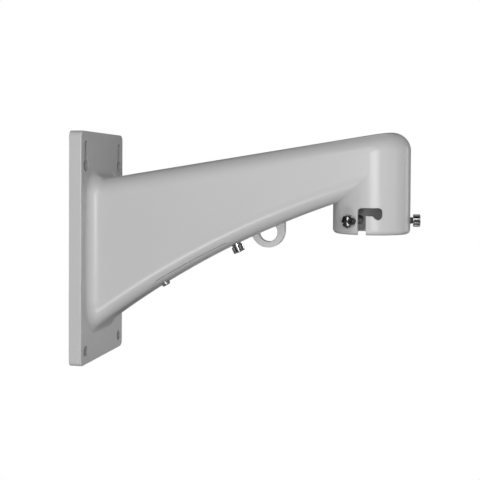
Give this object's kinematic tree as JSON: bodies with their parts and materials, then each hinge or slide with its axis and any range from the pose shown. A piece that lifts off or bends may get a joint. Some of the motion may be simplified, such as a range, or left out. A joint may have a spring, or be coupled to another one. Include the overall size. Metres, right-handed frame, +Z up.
{
  "type": "camera wall bracket",
  "caption": "Hollow cast wall bracket with a mounting plate, a rising arm and a round cup, open below, for a camera's neck.",
  "frame": {"origin": "middle of the plate's back face, which lies against the wall", "axes": "+X away from the wall along the arm, +Y across the plate, to the left as seen from the wall, +Z up, along the cup's axis"},
  "size_m": [0.2901, 0.1, 0.2],
  "materials": {
    "bracket_paint": "satin powder coat on cast aluminium, light grey",
    "gasket_rubber": "matt",
    "screw_steel": "nickel plated, polished"
  },
  "bodies": {
    "bracket": {"bracket_casting": "bracket_paint", "access_cover": "bracket_paint", "access_cover_gasket": "gasket_rubber", "access_cover_screw": "screw_steel"},
    "cup_thumb_screw_front_body": {"cup_thumb_screw_front": "screw_steel"},
    "cup_thumb_screw_right_body": {"cup_thumb_screw_right": "screw_steel"},
    "cup_thumb_screw_left_body": {"cup_thumb_screw_left": "screw_steel"},
    "access_cover_thumb_screw_body": {"access_cover_thumb_screw": "screw_steel"}
  },
  "joints": [
    {"name": "cup_thumb_screw_front_travel", "type": "slide", "parent": "bracket", "child": "cup_thumb_screw_front_body", "axis": [0.9986, 0.0523, 0], "range_m": [-0.0019, 0.0084]},
    {"name": "cup_thumb_screw_right_travel", "type": "slide", "parent": "bracket", "child": "cup_thumb_screw_right_body", "axis": [-0.5446, 0.8387, 0], "range_m": [-0.0017, 0.0086]},
    {"name": "cup_thumb_screw_left_travel", "type": "slide", "parent": "bracket", "child": "cup_thumb_screw_left_body", "axis": [-0.454, -0.891, 0], "range_m": [-0.0002, 0.0101]},
    {"name": "access_cover_thumb_screw_travel", "type": "slide", "parent": "bracket", "child": "access_cover_thumb_screw_body", "axis": [0.4433, 0, -0.8964], "range_m": [0, 0.0095]}
  ]
}
